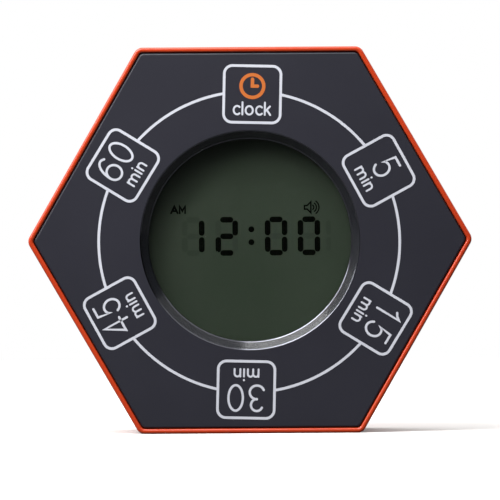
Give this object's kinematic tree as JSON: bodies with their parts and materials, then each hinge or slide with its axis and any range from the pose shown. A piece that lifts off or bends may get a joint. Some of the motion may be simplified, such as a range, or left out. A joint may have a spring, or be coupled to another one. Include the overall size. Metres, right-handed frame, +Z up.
{
  "type": "kitchen timer",
  "caption": "Hexagonal kitchen timer with a round sunken display; turning it to stand on another flat side picks the clock or a countdown.",
  "frame": {"origin": "centre of the flat side the timer stands on, midway through its depth", "axes": "+X right as seen from the front, +Y out of the back, +Z up; the display faces -Y"},
  "size_m": [0.1032, 0.034, 0.09],
  "materials": {
    "orange_plastic": "satin moulded",
    "charcoal_plastic": "satin moulded",
    "black_plastic": "matte",
    "window": "clear polished",
    "display_glass": "clear",
    "display_film": "satin film",
    "silver_film": "satin film",
    "connector_rubber": "matte",
    "circuit_board": "solder mask",
    "epoxy": "gloss",
    "steel": "zinc plated",
    "nickel": "nickel plated",
    "brass": "plain",
    "ceramic": "sintered",
    "cell_jacket": "printed film",
    "tape": "matte",
    "red_wire": "PVC insulation",
    "black_wire": "PVC insulation",
    "grey_wire": "PVC insulation"
  },
  "bodies": {
    "housing": {"battery_cell_1": "cell_jacket", "battery_cell_2": "cell_jacket", "battery_lead_black": "black_wire", "battery_lead_red": "red_wire", "board_screw_1": "steel", "board_screw_2": "steel", "board_screw_3": "steel", "board_screw_4": "steel", "bridge_contact": "nickel", "buzzer_ceramic": "ceramic", "buzzer_coil": "epoxy", "buzzer_lead_black": "black_wire", "buzzer_lead_red": "red_wire", "buzzer_plate": "brass", "case_screw_1": "steel", "case_screw_2": "steel", "case_screw_3": "steel", "case_screw_4": "steel", "case_screw_5": "steel", "case_screw_6": "steel", "controller_blob": "epoxy", "driver_transistor": "epoxy", "front_bezel": "charcoal_plastic", "front_polarizer": "display_film", "hour_switch": "nickel", "key_board": "circuit_board", "key_board_screw_1": "steel", "key_board_screw_2": "steel", "lcd_front_glass": "display_glass", "lcd_holder": "black_plastic", "lcd_rear_glass": "display_glass", "lens_adhesive_ring": "tape", "main_board": "circuit_board", "minute_switch": "nickel", "negative_contact": "nickel", "positive_contact": "nickel", "rear_case": "orange_plastic", "rear_reflector": "silver_film", "ribbon_cable": "grey_wire", "set_switch": "nickel", "smoothing_capacitor": "black_plastic", "tilt_sensor_base": "black_plastic", "tilt_sensor_cover": "black_plastic", "volume_switch": "nickel", "watch_crystal": "nickel", "window_lens": "window", "zebra_strip_bottom": "connector_rubber", "zebra_strip_top": "connector_rubber"},
    "door": {"battery_door": "orange_plastic"},
    "tilt_ball": {"tilt_ball": "steel"},
    "volume": {"volume_knob": "charcoal_plastic", "volume_lever": "black_plastic"},
    "minute_button": {"minute_button": "charcoal_plastic"},
    "minute_plunger": {"minute_plunger": "black_plastic"},
    "hour_button": {"hour_button": "charcoal_plastic"},
    "hour_plunger": {"hour_plunger": "black_plastic"},
    "set_button": {"set_button": "charcoal_plastic"},
    "set_plunger": {"set_plunger": "black_plastic"}
  },
  "joints": [
    {"name": "battery_door_swing", "type": "hinge", "parent": "housing", "child": "door", "pos_m": [0, 0.01685, 0.03695], "axis": [1, 0, 0], "range_deg": [0, 75]},
    {"name": "minute_button_press", "type": "slide", "parent": "housing", "child": "minute_button", "axis": [0, -1, 0], "range_m": [0, 0.0005], "stiffness_N_per_m": 400},
    {"name": "minute_plunger_press", "type": "slide", "parent": "housing", "child": "minute_plunger", "axis": [0, -1, 0], "range_m": [0, 0.00025]},
    {"name": "hour_button_press", "type": "slide", "parent": "housing", "child": "hour_button", "axis": [0, -1, 0], "range_m": [0, 0.0005], "stiffness_N_per_m": 400},
    {"name": "hour_plunger_press", "type": "slide", "parent": "housing", "child": "hour_plunger", "axis": [0, -1, 0], "range_m": [0, 0.00025]},
    {"name": "set_button_press", "type": "slide", "parent": "housing", "child": "set_button", "axis": [0, -1, 0], "range_m": [0, 0.0005], "stiffness_N_per_m": 400},
    {"name": "set_plunger_press", "type": "slide", "parent": "housing", "child": "set_plunger", "axis": [0, -1, 0], "range_m": [0, 0.00025]},
    {"name": "volume_slide", "type": "slide", "parent": "housing", "child": "volume", "axis": [1, 0, 0], "range_m": [-0.002, 0.002]},
    {"name": "tilt_ball_roll", "type": "hinge", "parent": "housing", "child": "tilt_ball", "pos_m": [-0.02, 0, 0.067], "axis": [0, 1, 0], "continuous": true}
  ],
  "couplings": [
    {"joint": "minute_plunger_press", "follows": "minute_button_press", "ratio": 0.5},
    {"joint": "hour_plunger_press", "follows": "hour_button_press", "ratio": 0.5},
    {"joint": "set_plunger_press", "follows": "set_button_press", "ratio": 0.5}
  ]
}
